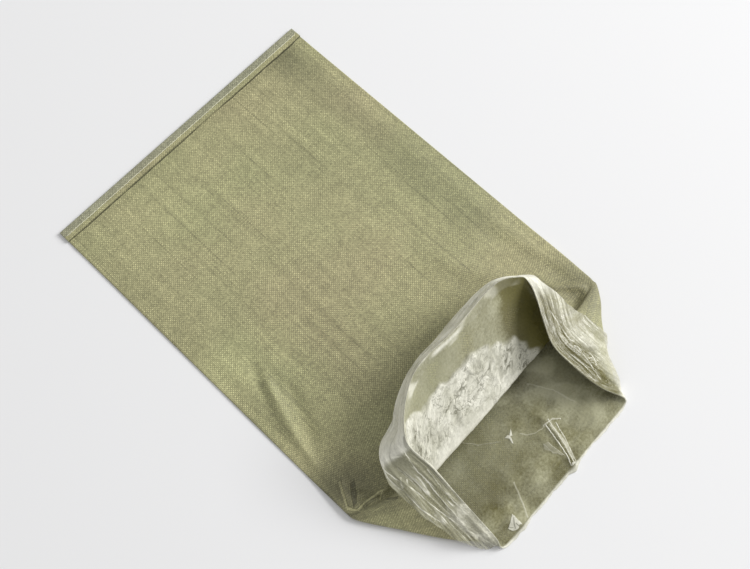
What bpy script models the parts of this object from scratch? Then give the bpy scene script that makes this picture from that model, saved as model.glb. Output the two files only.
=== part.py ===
"""Empty woven cement sack lying flat, with its mouth folded open and its clear film liner turned out over the rim.

Lengths are in metres. The sack is drawn with its sewn end at x = 0 and its mouth towards +X, lying on z = 0, and is
centred on the origin at the end.

The cloth is a tube, so a place on it is given by the girth g, the distance round the tube from the middle of the
underside, and by how far it is along the tube. Girth 0.25 and 0.75 are the two side edges, and 0.5 is the middle of
the upper side.
"""

import math

import bmesh
import bpy
import numpy as np

# Flat size
HALF_WIDTH = 0.25
GIRTH = 4 * HALF_WIDTH
LENGTH = 0.79

# Walls, thicker than the real cloth and film so that they are solid bodies
CLOTH = 0.0008
FILM = 0.0005
GAP = 0.0004

# Sewn end: two layers folded over onto the upper side and stitched through
HEM_WIDTH = 0.021
HEM_LAYERS = 4
HEM_ROUND = 0.0006
HEM_STEP = 0.0002
THREAD_RADIUS = 0.0004
THREAD_X = 0.013
THREAD_GAP = 0.0003
STITCH_HOLE_RADIUS = 0.0009
STITCH_HOLE_ENDS = (-0.002, 0.01)
POSTS = 11
POST_END_MARGIN = 0.008
HEM_LIFT = 2 * THREAD_RADIUS + THREAD_GAP

# Thickness of the lying sack, which swells towards the crease where its upper side turns back
START_THICKNESS = 2.5 * CLOTH
START_RUN = 0.014
EDGE_THICKNESS = 0.0048
MOUTH_EDGE_THICKNESS = 0.0085
SWELL_X = 0.50
SWELL_RUN = 0.10
PUFF = 0.0022
PUFF_RUN = 0.08
CREASE_X = 0.655
LIP_RISE = 0.014
LIP_X = CREASE_X + 0.015
LIP_REACH = 0.12
THROAT_RISE = 0.008
THROAT_REACH = 0.07
THROAT_Y = 0.13

# Hollow in the wall at the mouth's far corner
HOLLOW_DEPTH = 0.016
HOLLOW_GIRTH = 0.36
HOLLOW_REACH = 0.04

# Mouth
FOLD_HEIGHT = 0.0085
BEND = 0.009
PULL_RUN = 0.10
TURNED_UNDER = 0.03

# Girth from the middle of the underside where the side flaps rise, and where the turned-under film ends
FLAP_START = 0.122
FLAP_RUN = 0.028
UNDER_END = 0.145
UNDER_RUN = 0.02

# Where the cloth leaves the floor or turns back: (girth, x, y)
FOLD_LOOP = (
    (0.00, 0.770, 0.000),
    (0.06, 0.770, 0.060),
    (0.12, 0.768, 0.123),
    (0.135, 0.763, 0.142),
    (0.15, 0.745, 0.158),
    (0.20, 0.691, 0.206),
    (0.23, 0.667, 0.233),
    (0.25, 0.645, 0.247),
    (0.30, 0.652, 0.200),
    (0.40, 0.655, 0.100),
    (0.50, 0.655, 0.000),
    (0.60, 0.655, -0.100),
    (0.65, 0.652, -0.150),
    (0.70, 0.632, -0.200),
    (0.75, 0.610, -0.249),
    (0.80, 0.676, -0.212),
    (0.85, 0.744, -0.167),
    (0.865, 0.761, -0.144),
    (0.88, 0.768, -0.123),
    (0.94, 0.770, -0.060),
)

# The cut edge of the mouth: (girth, x, y, z)
RIM_LOOP = (
    (0.000, 0.790, 0.000, 0.0012),
    (0.070, 0.790, 0.070, 0.0014),
    (0.120, 0.790, 0.121, 0.0016),
    (0.131, 0.789, 0.134, 0.0034),
    (0.137, 0.787, 0.138, 0.0066),
    (0.143, 0.783, 0.138, 0.0100),
    (0.150, 0.777, 0.135, 0.0136),
    (0.185, 0.748, 0.118, 0.0360),
    (0.235, 0.709, 0.109, 0.0560),
    (0.285, 0.661, 0.107, 0.0720),
    (0.325, 0.625, 0.125, 0.0790),
    (0.350, 0.601, 0.141, 0.0800),
    (0.372, 0.578, 0.152, 0.0800),
    (0.388, 0.565, 0.149, 0.0810),
    (0.420, 0.546, 0.117, 0.0840),
    (0.500, 0.548, 0.028, 0.0880),
    (0.580, 0.548, -0.058, 0.0850),
    (0.655, 0.596, -0.126, 0.0750),
    (0.710, 0.650, -0.128, 0.0580),
    (0.765, 0.700, -0.131, 0.0380),
    (0.815, 0.744, -0.133, 0.0235),
    (0.850, 0.777, -0.135, 0.0122),
    (0.857, 0.783, -0.138, 0.0094),
    (0.863, 0.787, -0.138, 0.0066),
    (0.869, 0.789, -0.134, 0.0034),
    (0.880, 0.790, -0.121, 0.0016),
    (0.930, 0.790, -0.070, 0.0014),
)

# The film turned out over the rim, square to its edge: (girth, width, degrees away from the wall)
CUFF_LOOP = (
    (0.000, TURNED_UNDER, 0),
    (0.100, 0.024, 0),
    (0.140, 0.014, 4),
    (0.150, 0.022, 5),
    (0.165, 0.034, 8),
    (0.185, 0.054, 10),
    (0.200, 0.066, 12),
    (0.235, 0.073, 12),
    (0.285, 0.078, 16),
    (0.305, 0.076, 23),
    (0.325, 0.060, 28),
    (0.350, 0.030, 45),
    (0.365, 0.018, 60),
    (0.380, 0.022, 72),
    (0.400, 0.030, 82),
    (0.440, 0.031, 84),
    (0.470, 0.037, 82),
    (0.500, 0.046, 80),
    (0.530, 0.041, 78),
    (0.560, 0.033, 76),
    (0.590, 0.036, 70),
    (0.620, 0.034, 65),
    (0.640, 0.045, 50),
    (0.655, 0.043, 35),
    (0.670, 0.049, 22),
    (0.690, 0.057, 16),
    (0.740, 0.055, 12),
    (0.780, 0.046, 12),
    (0.810, 0.041, 10),
    (0.830, 0.032, 8),
    (0.850, 0.021, 6),
    (0.865, 0.014, 4),
    (0.900, 0.024, 0),
)

# Tight corners of the mouth: (girth, how much further the film stands off the cloth)
CORNERS = ((0.135, 0.0010), (0.365, 0.0018), (GIRTH - 0.135, 0.0010))
CORNER_REACH = 0.025
SLACK_RUN = 0.05

# Rows of the body from just past the hem, where the sack is not yet open
START_X = (0.035, 0.05)

# Columns round the tube, closer together where the mouth's lower corners turn
LOWER_COLUMNS = (0.035, 0.070, 0.100, 0.120, 0.128, 0.134, 0.140, 0.147, 0.160, 0.185, 0.215, 0.246)
UPPER_COLUMNS = 17
EDGE_ARC = 0.004
ARC_COLUMNS = 3
BODY_ROWS = 6
WALL_ROWS = 7
CUFF_ROWS = 5


def clear_scene():
    for thing in list(bpy.data.objects):
        bpy.data.objects.remove(thing, do_unlink=True)


def smooth(t):
    """0 below 0, 1 above 1, and an even S between."""
    t = np.clip(t, 0.0, 1.0)
    return t * t * (3 - 2 * t)


def bump_at(value, centre, reach):
    """1 at the centre, falling off evenly on both sides."""
    return np.exp(-(((value - centre) / reach) ** 2))


def columns():
    outwards = np.array(LOWER_COLUMNS)
    lower = np.concatenate([-outwards[::-1], [0.0], outwards])
    reach = HALF_WIDTH - EDGE_ARC
    upper = 2 * HALF_WIDTH + np.linspace(-reach, reach, UPPER_COLUMNS)
    arc = np.linspace(-EDGE_ARC, EDGE_ARC, ARC_COLUMNS + 2)[1:-1]
    return np.concatenate([lower, HALF_WIDTH + arc, upper, 3 * HALF_WIDTH + arc])


def on_loop(loop, girth):
    """The point of a closed loop of knots at this girth, on a smooth curve through them."""
    knots = np.array(loop, float)
    at = np.mod(girth, GIRTH)
    k = int(np.searchsorted(knots[:, 0], at, side="right")) - 1
    count = len(knots)

    def knot(i):
        turns, index = divmod(i, count)
        return knots[index, 0] + turns * GIRTH, knots[index, 1:]

    (g0, p0), (g1, p1), (g2, p2), (g3, p3) = (knot(k + i) for i in (-1, 0, 1, 2))
    m1 = (p2 - p0) / (g2 - g0) * (g2 - g1)
    m2 = (p3 - p1) / (g3 - g1) * (g2 - g1)
    t = (at - g1) / (g2 - g1)
    return (
        (2 * t**3 - 3 * t**2 + 1) * p1
        + (t**3 - 2 * t**2 + t) * m1
        + (3 * t**2 - 2 * t**3) * p2
        + (t**3 - t**2) * m2
    )


def underside(x):
    """Height of the underside over the floor: raised over the lower thread and over the turned-under film."""
    over_thread = HEM_LIFT * (1 - smooth((x - HEM_WIDTH) / 0.03))
    over_film = (FILM + GAP) * smooth((x - (LENGTH - TURNED_UNDER - 0.02)) / 0.012)
    return over_thread + over_film


def thickness(x, y):
    """Outer thickness of the lying sack."""
    edge = START_THICKNESS + (EDGE_THICKNESS - START_THICKNESS) * smooth((x - HEM_WIDTH) / START_RUN)
    edge += (MOUTH_EDGE_THICKNESS - EDGE_THICKNESS) * smooth((x - SWELL_X) / SWELL_RUN)
    across = np.clip(1 - (y / HALF_WIDTH) ** 2, 0, 1)
    puff = PUFF * smooth((x - HEM_WIDTH) / PUFF_RUN)
    throat = THROAT_RISE * bump_at(x, CREASE_X, THROAT_REACH) * bump_at(y, THROAT_Y, THROAT_REACH)
    lip = LIP_RISE * bump_at(x, LIP_X, LIP_REACH)
    return edge + (puff + throat + lip) * across


def section(girth, x):
    """The outer surface of the lying sack at this girth and x."""
    g = np.mod(girth + EDGE_ARC, GIRTH) - EDGE_ARC
    low = underside(x)
    radius = thickness(x, HALF_WIDTH) / 2
    flat = HALF_WIDTH - radius
    stretch = flat / (HALF_WIDTH - EDGE_ARC)
    if g > 3 * HALF_WIDTH + EDGE_ARC:
        g -= GIRTH
    if abs(g) <= HALF_WIDTH - EDGE_ARC:
        return np.array([x, g * stretch, low])
    if abs(g - 2 * HALF_WIDTH) <= HALF_WIDTH - EDGE_ARC:
        y = (2 * HALF_WIDTH - g) * stretch
        return np.array([x, y, low + thickness(x, y)])
    side = 1 if g < 2 * HALF_WIDTH else -1
    centre = HALF_WIDTH if side > 0 else 3 * HALF_WIDTH
    turn = side * (g - centre) / EDGE_ARC * math.pi / 2
    return np.array([x, side * (flat + radius * math.cos(turn)), low + radius * (1 + math.sin(turn))])


def bend(p, q, r, share):
    """A point on the bend from p to r round the corner q."""
    return (1 - share) ** 2 * p + 2 * share * (1 - share) * q + share**2 * r


def column_path(girth):
    """Points of the outer surface down one column, from the sewn end to the rim."""
    fold_x, fold_y = on_loop(FOLD_LOOP, girth)
    rim = on_loop(RIM_LOOP, girth)
    flat_end = fold_x - BEND
    fold = section(girth, fold_x)
    near = section(girth, flat_end)
    fold[1] = fold_y
    near[1] += (fold_y - near[1]) * 0.5
    start = [section(girth, x) for x in START_X]
    body = []
    for x in np.linspace(START_X[-1], flat_end, BODY_ROWS + 1)[1:]:
        point = section(girth, x)
        pull = smooth((x - (fold_x - PULL_RUN)) / PULL_RUN)
        point[1] += (near[1] - point[1]) * pull
        body.append(point)
    raised = fold.copy()
    raised[2] = max(fold[2], FOLD_HEIGHT * side_share(girth))
    length = np.linalg.norm(rim - raised)
    on_wall = raised + (rim - raised) * min(BEND / length, 0.4)
    if raised[2] > fold[2] + 0.001:
        middle = (fold + raised) / 2
        corner = [bend(body[-1], fold, middle, s) for s in (0.35, 0.7, 1.0)]
        corner += [bend(middle, raised, on_wall, s) for s in (0.35, 0.7, 1.0)]
    else:
        corner = [bend(body[-1], raised, on_wall, s) for s in (0.17, 0.34, 0.5, 0.66, 0.83, 1.0)]
    last = corner[-1]
    wall = [last + (rim - last) * t for t in np.linspace(0, 1, WALL_ROWS + 1)[1:]]
    return np.array(start + body + corner + wall)


def side_share(girth):
    """1 where a side flap turns up off the floor, 0 across the underside."""
    from_middle = min(np.mod(girth, GIRTH), GIRTH - np.mod(girth, GIRTH))
    return float(smooth((from_middle - FLAP_START) / FLAP_RUN))


def sink_hollow(outer, girths):
    """Lets the wall fall back at the mouth's far corner, between its foot and its rim."""
    foot, rim = outer[-1 - WALL_ROWS], outer[-1]
    around = np.roll(rim, -1, axis=0) - np.roll(rim, 1, axis=0)
    outward = np.cross(around, rim - foot)
    outward /= np.linalg.norm(outward, axis=1, keepdims=True)
    depth = HOLLOW_DEPTH * bump_at(np.mod(girths, GIRTH), HOLLOW_GIRTH, HOLLOW_REACH)
    for row in range(1, WALL_ROWS):
        up = row / WALL_ROWS
        outer[row - 1 - WALL_ROWS] += outward * depth[:, None] * (4 * up * (1 - up)) ** 2


def hem_rows(girth):
    """Rows of the outer surface over the sewn end, where the folded layers make a step on the upper side."""
    full = HEM_LAYERS * CLOTH
    profile = (
        (0.0, HEM_ROUND, full - HEM_ROUND),
        (HEM_ROUND, 0.0, full),
        (HEM_WIDTH - HEM_ROUND, 0.0, full),
        (HEM_WIDTH, 0.0, full - HEM_ROUND),
    )
    after_hem = section(girth, HEM_WIDTH)
    share = (after_hem[2] - HEM_LIFT) / thickness(HEM_WIDTH, after_hem[1])
    rows = [np.array([x, after_hem[1], HEM_LIFT + low + (high - low) * share]) for x, low, high in profile]
    step = section(girth, HEM_WIDTH + HEM_ROUND)
    if HALF_WIDTH < np.mod(girth, GIRTH) < 3 * HALF_WIDTH:
        step[0] = HEM_WIDTH + HEM_STEP
    return np.array(rows + [step])


def surface_normals(grid):
    """Outward unit normals of a grid whose rows run along the sack and whose columns run round it."""
    along = np.gradient(grid, axis=0)
    around = np.roll(grid, -1, axis=1) - np.roll(grid, 1, axis=1)
    normal = np.cross(around, along)
    return normal / np.linalg.norm(normal, axis=2, keepdims=True)


def sleeve_faces(first, rows, count, flip):
    """Faces of the surface through rows of points that each run once round the tube."""
    faces = []
    for i in range(rows - 1):
        for j in range(count):
            k = (j + 1) % count
            a, b = first + i * count + j, first + i * count + k
            faces.append((a, a + count, b + count, b) if flip else (a, b, b + count, a + count))
    return faces


def solid_between(outer, inner):
    """One closed body between two sleeves, capped at the sewn end and joined at the open end."""
    count = outer.shape[1]
    points = np.concatenate([outer.reshape(-1, 3), inner.reshape(-1, 3)])
    split = outer.shape[0] * count
    faces = sleeve_faces(0, outer.shape[0], count, True)
    faces += sleeve_faces(split, inner.shape[0], count, False)
    faces += [tuple(range(count)), tuple(range(split, split + count))]
    outer_end = split - count
    inner_end = len(points) - count
    for j in range(count):
        k = (j + 1) % count
        faces.append((outer_end + j, inner_end + j, inner_end + k, outer_end + k))
    return points, faces


def face_outward(mesh):
    shape = bmesh.new()
    shape.from_mesh(mesh)
    bmesh.ops.recalc_face_normals(shape, faces=shape.faces)
    shape.to_mesh(mesh)
    shape.free()


def add_object(name, points, faces, material, smooth_shading=True):
    mesh = bpy.data.meshes.new(name)
    mesh.from_pydata([tuple(p) for p in points], [], faces)
    face_outward(mesh)
    mesh.polygons.foreach_set("use_smooth", [smooth_shading] * len(mesh.polygons))
    mesh.materials.append(material)
    thing = bpy.data.objects.new(name, mesh)
    bpy.context.scene.collection.objects.link(thing)
    return thing


def add_material(name, colour, roughness):
    material = bpy.data.materials.new(name)
    material.use_nodes = True
    shader = material.node_tree.nodes["Principled BSDF"]
    shader.inputs["Base Color"].default_value = (*colour, 1)
    shader.inputs["Roughness"].default_value = roughness
    shader.inputs["Metallic"].default_value = 0
    return material


def back_along(path, distance):
    """The point of a column this far back from its last point."""
    steps = np.linalg.norm(np.diff(path, axis=0), axis=1)
    from_end = np.concatenate([[0], np.cumsum(steps[::-1])])
    backwards = path[::-1]
    return np.array([np.interp(distance, from_end, backwards[:, k]) for k in range(3)])


def under_share(girth):
    """1 where the film is turned under the lying side, 0 on the walls."""
    from_middle = min(np.mod(girth, GIRTH), GIRTH - np.mod(girth, GIRTH))
    return float(smooth((UNDER_END - from_middle) / UNDER_RUN))


def corner_slack(girths):
    """How much further the film stands off the cloth where the mouth's corners are tight."""
    slack = np.zeros(len(girths))
    for corner, amount in CORNERS:
        slack += amount * bump_at(girths, corner, CORNER_REACH)
    return slack[:, None]


def liner_middle(outer, girths, first_row):
    """Middle surface of the film: up the inside, over the rim and down the outside."""
    normals = surface_normals(outer)
    slack = corner_slack(np.mod(girths, GIRTH))
    near_mouth = smooth((outer[:, :, :1] - SWELL_X) / SLACK_RUN)
    inside = (outer - normals * (CLOTH + GAP + FILM / 2 + slack * near_mouth))[first_row:]
    rim, rim_normal = outer[-1], normals[-1]
    middle = rim - rim_normal * CLOTH / 2
    ahead = outer[-1] - outer[-2]
    ahead /= np.linalg.norm(ahead, axis=1, keepdims=True)
    radius = CLOTH / 2 + GAP + FILM / 2 + slack
    rows = [inside]
    for angle in np.radians([45, 90, 135, 180]):
        rows.append((middle + radius * (ahead * math.sin(angle) - rim_normal * math.cos(angle)))[None])
    outside = outer + normals * (GAP + FILM / 2 + slack)
    turn_out = np.array([on_loop(CUFF_LOOP, g) for g in girths])
    width, angle = turn_out[:, :1], np.radians(turn_out[:, 1:])
    edge = np.roll(rim, -1, axis=0) - np.roll(rim, 1, axis=0)
    edge /= np.linalg.norm(edge, axis=1, keepdims=True)
    down = -ahead + (ahead * edge).sum(axis=1, keepdims=True) * edge
    down /= np.linalg.norm(down, axis=1, keepdims=True)
    away = rim_normal * np.sin(angle) + down * np.cos(angle)
    for part in np.linspace(0, 1, CUFF_ROWS + 1)[1:]:
        on_wall = middle + rim_normal * radius + away * width * part
        under = np.array([back_along(outside[:, j], width[j, 0] * part) for j in range(len(girths))])
        share = np.array([[under_share(g)] for g in girths])
        rows.append((on_wall * (1 - share) + under * share)[None])
    film = np.concatenate(rows)
    film[:, :, 2] = np.maximum(film[:, :, 2], 0.55 * FILM)
    return film


def add_thread(material):
    """The seam's upper and lower runs of thread, joined through the sewn end at regular posts."""
    top = HEM_LIFT + HEM_LAYERS * CLOTH + THREAD_GAP + THREAD_RADIUS
    bottom = THREAD_RADIUS
    reach = HALF_WIDTH - POST_END_MARGIN
    posts = np.linspace(-reach, reach, POSTS)
    ends = (-reach - THREAD_RADIUS, reach + THREAD_RADIUS)
    parts = []
    for height in (bottom, top):
        parts.append(add_rod("run", (THREAD_X, ends[0], height), (THREAD_X, ends[1], height), THREAD_RADIUS))
    for y in posts:
        parts.append(add_rod("post", (THREAD_X, y, bottom), (THREAD_X, y, top), THREAD_RADIUS * 0.9))
    thread = parts[0]
    thread.name = "hem_thread"
    thread.data.materials.append(material)
    for other in parts[1:]:
        join = thread.modifiers.new("join", "BOOLEAN")
        join.operation = "UNION"
        join.solver = "EXACT"
        join.object = other
        hide(other)
    return thread


def add_rod(name, start, end, radius, sides=8):
    """A straight round rod, as an eight-sided prism."""
    start, end = np.array(start), np.array(end)
    along = (end - start) / np.linalg.norm(end - start)
    across = np.cross(along, [1.0, 0.0, 0.0])
    across /= np.linalg.norm(across)
    third = np.cross(along, across)
    ring = [
        across * math.cos(a) + third * math.sin(a)
        for a in (np.arange(sides) + 0.5) * 2 * math.pi / sides
    ]
    points = [start + radius * r for r in ring] + [end + radius * r for r in ring]
    faces = [(k, (k + 1) % sides, sides + (k + 1) % sides, sides + k) for k in range(sides)]
    faces += [tuple(reversed(range(sides))), tuple(range(sides, 2 * sides))]
    mesh = bpy.data.meshes.new(name)
    mesh.from_pydata([tuple(p) for p in points], [], faces)
    face_outward(mesh)
    rod = bpy.data.objects.new(name, mesh)
    bpy.context.scene.collection.objects.link(rod)
    return rod


def hide(helper):
    helper.hide_render = True
    helper.display_type = "WIRE"


def cut_stitch_holes(sack):
    reach = HALF_WIDTH - POST_END_MARGIN
    low, high = STITCH_HOLE_ENDS
    for y in np.linspace(-reach, reach, POSTS):
        hole = add_rod("hole", (THREAD_X, y, low), (THREAD_X, y, high), STITCH_HOLE_RADIUS)
        hide(hole)
        cut = sack.modifiers.new("hole", "BOOLEAN")
        cut.operation = "DIFFERENCE"
        cut.solver = "EXACT"
        cut.object = hole


def centre_on_origin(points):
    """Moves every object so that the middle of the overall length and width is over the origin."""
    low, high = points.min(axis=0), points.max(axis=0)
    for thing in bpy.data.objects:
        thing.location.x = -(low[0] + high[0]) / 2
        thing.location.y = -(low[1] + high[1]) / 2


def build():
    clear_scene()
    girths = columns()
    paths = [column_path(g) for g in girths]
    body = np.stack(paths, axis=1)
    hem = np.stack([hem_rows(g) for g in girths], axis=1)
    outer = np.concatenate([hem, body])
    sink_hollow(outer, girths)
    open_row = len(hem)
    inner = (outer - surface_normals(outer) * CLOTH)[open_row:]

    weave = add_material("woven_polypropylene", (0.38, 0.37, 0.21), 0.7)
    film = add_material("polyethylene_film", (0.62, 0.61, 0.52), 0.25)
    cotton = add_material("sewing_thread", (0.75, 0.74, 0.65), 0.8)

    points, faces = solid_between(outer, inner)
    sack = add_object("woven_sack", points, faces, weave)

    middle = liner_middle(outer, girths, open_row + 1)
    film_normals = surface_normals(middle)
    points, faces = solid_between(middle + film_normals * FILM / 2, middle - film_normals * FILM / 2)
    add_object("film_liner", points, faces, film)

    cut_stitch_holes(sack)
    add_thread(cotton)
    centre_on_origin(np.concatenate([outer.reshape(-1, 3), points]))


build()
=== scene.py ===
"""Empty woven cement sack lying flat, with its clear film liner turned out over the open mouth.

Lengths are in metres. A place on the cloth or on the film is given by the girth, the distance round the tube
from the middle of the underside, and by the row, from the sewn end to the rim. The sack is laid out with its
sewn end at x = 0 and is moved to its centred place at the end.
"""

import math

import bpy
import numpy as np
from mathutils import Matrix, Vector


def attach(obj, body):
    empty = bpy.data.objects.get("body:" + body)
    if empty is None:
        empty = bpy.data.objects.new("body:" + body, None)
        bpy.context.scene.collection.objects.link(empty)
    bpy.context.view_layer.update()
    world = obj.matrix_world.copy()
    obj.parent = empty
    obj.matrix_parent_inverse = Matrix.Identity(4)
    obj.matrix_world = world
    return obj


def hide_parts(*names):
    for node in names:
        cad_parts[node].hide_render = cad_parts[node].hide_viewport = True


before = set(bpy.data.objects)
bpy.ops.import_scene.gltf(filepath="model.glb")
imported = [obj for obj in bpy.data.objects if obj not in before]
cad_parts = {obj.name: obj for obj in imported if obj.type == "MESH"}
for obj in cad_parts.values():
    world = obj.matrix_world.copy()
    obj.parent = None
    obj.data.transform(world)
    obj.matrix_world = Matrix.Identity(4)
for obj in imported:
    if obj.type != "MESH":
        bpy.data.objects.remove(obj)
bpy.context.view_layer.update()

# Flat size of the sack
HALF_WIDTH = 0.25
GIRTH = 4 * HALF_WIDTH
LENGTH = 0.79
CENTRE_X = -0.39599

# Flat lengths of the two tubes, and how far inside the sewn end the film starts
CLOTH_FLAT_LENGTH = 0.815
FILM_START = 0.05

# The photograph's size in pixels, and the camera that was fitted to it
PICTURE_WIDTH = 750
PICTURE_HEIGHT = 569
CAMERA_PLACE = Vector((0.25082, -0.24992, 1.14606))
CAMERA_HEADING = math.radians(131.753)
CAMERA_DOWN = math.radians(72.495)
CAMERA_ROLL = math.radians(1.377)
LENS = 38.4
SENSOR_WIDTH = 36

# Heights above the floor of picked pixels: on the lying sack's upper side, and on the mouth's floor
CLOTH_HEIGHT = 0.008
FILM_HEIGHT = 0.004

# Sewn end
HEM_WIDTH = 0.021
HEM_BOTTOM = 0.0012
HEM_LAYER = 0.0011
HEM_GAP = 0.0004
THREAD_X = 0.013
THREAD_RADIUS = 0.00045
STITCH = 0.0078

# Lying sack
CLOTH_INSET = 0.0004
EDGE_THICKNESS = 0.0048
MOUTH_EDGE_THICKNESS = 0.0085
PUFF = 0.0022
FOLD_HEIGHT = 0.0085
BEND = 0.009
TURNED_UNDER = 0.03
EDGE_ARC = 0.004
FILM_ROOM = 0.0009
CUFF_SPAN = 12
CUFF_ROWS = 29

# Where the cloth leaves the floor or turns back: (girth, x, y)
FOLD_LOOP = (
    (0.00, 0.770, 0.000),
    (0.06, 0.770, 0.060),
    (0.12, 0.768, 0.123),
    (0.135, 0.763, 0.142),
    (0.15, 0.745, 0.158),
    (0.20, 0.691, 0.206),
    (0.23, 0.667, 0.233),
    (0.25, 0.645, 0.247),
    (0.30, 0.652, 0.200),
    (0.40, 0.655, 0.100),
    (0.50, 0.655, 0.000),
    (0.60, 0.655, -0.100),
    (0.65, 0.652, -0.150),
    (0.70, 0.632, -0.200),
    (0.75, 0.610, -0.249),
    (0.80, 0.676, -0.212),
    (0.85, 0.744, -0.167),
    (0.865, 0.761, -0.144),
    (0.88, 0.768, -0.123),
    (0.94, 0.770, -0.060),
)

# The cut edge of the mouth: (girth, x, y, z)
RIM_LOOP = (
    (0.000, 0.790, 0.000, 0.0012),
    (0.070, 0.790, 0.070, 0.0014),
    (0.120, 0.790, 0.121, 0.0016),
    (0.131, 0.789, 0.134, 0.0034),
    (0.137, 0.787, 0.138, 0.0066),
    (0.143, 0.783, 0.138, 0.0100),
    (0.150, 0.777, 0.135, 0.0136),
    (0.185, 0.748, 0.118, 0.0360),
    (0.235, 0.709, 0.109, 0.0560),
    (0.285, 0.661, 0.107, 0.0720),
    (0.325, 0.625, 0.125, 0.0790),
    (0.350, 0.601, 0.141, 0.0800),
    (0.372, 0.578, 0.152, 0.0800),
    (0.388, 0.565, 0.149, 0.0810),
    (0.420, 0.546, 0.117, 0.0840),
    (0.500, 0.548, 0.028, 0.0880),
    (0.580, 0.548, -0.058, 0.0850),
    (0.655, 0.596, -0.126, 0.0750),
    (0.710, 0.650, -0.128, 0.0580),
    (0.765, 0.700, -0.131, 0.0380),
    (0.815, 0.744, -0.133, 0.0235),
    (0.850, 0.777, -0.135, 0.0122),
    (0.857, 0.783, -0.138, 0.0094),
    (0.863, 0.787, -0.138, 0.0066),
    (0.869, 0.789, -0.134, 0.0034),
    (0.880, 0.790, -0.121, 0.0016),
    (0.930, 0.790, -0.070, 0.0014),
)

# The film turned out over the rim, square to its edge: (girth, width, degrees away from the wall)
# The widths began as a fit to the cuff's outline in the photograph.
CUFF_LOOP = (
    (0.000, TURNED_UNDER, 0),
    (0.100, 0.024, 0),
    (0.140, 0.014, 4),
    (0.150, 0.022, 5),
    (0.165, 0.034, 8),
    (0.185, 0.054, 10),
    (0.200, 0.066, 12),
    (0.235, 0.073, 12),
    (0.285, 0.072, 16),
    (0.305, 0.063, 22),
    (0.325, 0.051, 29),
    (0.350, 0.030, 45),
    (0.365, 0.018, 60),
    (0.380, 0.022, 72),
    (0.400, 0.030, 82),
    (0.440, 0.031, 84),
    (0.470, 0.037, 82),
    (0.500, 0.046, 80),
    (0.530, 0.041, 78),
    (0.560, 0.033, 76),
    (0.590, 0.037, 70),
    (0.620, 0.041, 64),
    (0.640, 0.048, 50),
    (0.655, 0.045, 35),
    (0.670, 0.049, 22),
    (0.690, 0.057, 16),
    (0.740, 0.055, 12),
    (0.780, 0.046, 12),
    (0.810, 0.041, 10),
    (0.830, 0.032, 8),
    (0.850, 0.021, 6),
    (0.865, 0.014, 4),
    (0.900, 0.024, 0),
)

# How far up the back wall the film is crumpled: (girth, share of the wall)
CRUMPLED = (
    (0.385, 0.00),
    (0.400, 0.05),
    (0.415, 0.18),
    (0.430, 0.38),
    (0.455, 0.50),
    (0.500, 0.66),
    (0.560, 0.65),
    (0.600, 0.72),
    (0.630, 0.96),
    (0.655, 1.00),
    (0.690, 1.00),
    (0.720, 0.00),
)

# Creases of the lying cloth picked in the photograph, as seen from the sewn end:
# (pixels, half width on the left, on the right, height)
SEEN_CREASES = (
    (((269.6, 387.3), (289, 424), (311, 464)), 0.007, 0.011, 0.0050),
    (((240.5, 399.5), (255.8, 416.4)), 0.006, 0.008, 0.0030),
    (((294, 395), (309, 430)), 0.010, 0.010, -0.0026),
    (((256, 373), (267, 401)), 0.009, 0.009, -0.0022),
    (((328, 453), (374, 491)), 0.022, 0.022, -0.0030),
    (((341.6, 485), (343, 499), (349, 508)), 0.003, 0.004, 0.0050),
    (((349, 508), (358.5, 507), (371, 497.5), (384.5, 490)), 0.003, 0.004, 0.0060),
)

# More creases: (places along and across the sack, half width on the left, on the right, height)
CREASES = (
    (((0.615, -0.200), (0.631, -0.197)), 0.003, 0.004, 0.0040),
    (((0.592, -0.224), (0.604, -0.215)), 0.006, 0.006, -0.0040),
    (((0.636, -0.190), (0.640, -0.180)), 0.006, 0.006, -0.0045),
    (((0.606, 0.196), (0.629, 0.220), (0.645, 0.234), (0.653, 0.239)), 0.004, 0.006, 0.0045),
    (((0.640, 0.203), (0.655, 0.214)), 0.012, 0.012, -0.0050),
    (((0.470, 0.120), (0.560, 0.165)), 0.018, 0.018, 0.0030),
    (((0.500, 0.200), (0.590, 0.215)), 0.014, 0.018, -0.0026),
)

# Painted light and shade on the lying cloth, at lighter and darker places: (y, x, reach, change)
CLOTH_PAINTED_LIGHT_AND_SHADE = (
    (-0.120, 0.090, 0.110, 0.10),
    (0.200, 0.035, 0.030, -0.20),
    (-0.235, 0.340, 0.040, 0.30),
    (-0.235, 0.500, 0.030, 0.25),
    (-0.090, 0.440, 0.080, -0.16),
    (-0.235, 0.560, 0.035, -0.40),
    (-0.210, 0.605, 0.050, -0.42),
    (0.090, 0.560, 0.040, -0.15),
    (0.220, 0.620, 0.045, -0.30),
    (0.235, 0.665, 0.035, -0.22),
)

# Wrinkles beside the mouth, with painted highlight on their crests: (girth and flat length of their points,
# half width, strength), and dark gaps of painted shade beside them
# Several points were looked up on the mesh for pixels of the photograph.
CLOTH_LIT_CRESTS = (
    (((0.7235, 0.622), (0.7330, 0.640), (0.7400, 0.651)), 0.0022, 0.9),
    (((0.7400, 0.651), (0.7330, 0.672), (0.7120, 0.690), (0.6920, 0.703)), 0.0018, 1.0),
    (((0.6930, 0.703), (0.7100, 0.713), (0.7330, 0.7255)), 0.0014, 0.8),
    (((0.7550, 0.690), (0.7450, 0.712)), 0.0016, 0.5),
)
CLOTH_SHADED_GAPS = (
    (((0.7150, 0.645), (0.7220, 0.656), (0.7270, 0.662)), 0.0042, 0.8),
    (((0.7270, 0.728), (0.7330, 0.738)), 0.0040, 0.8),
    (((0.7230, 0.684), (0.7080, 0.697)), 0.0026, 0.5),
    (((0.7480, 0.655), (0.7440, 0.672)), 0.0024, 0.6),
)
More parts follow.
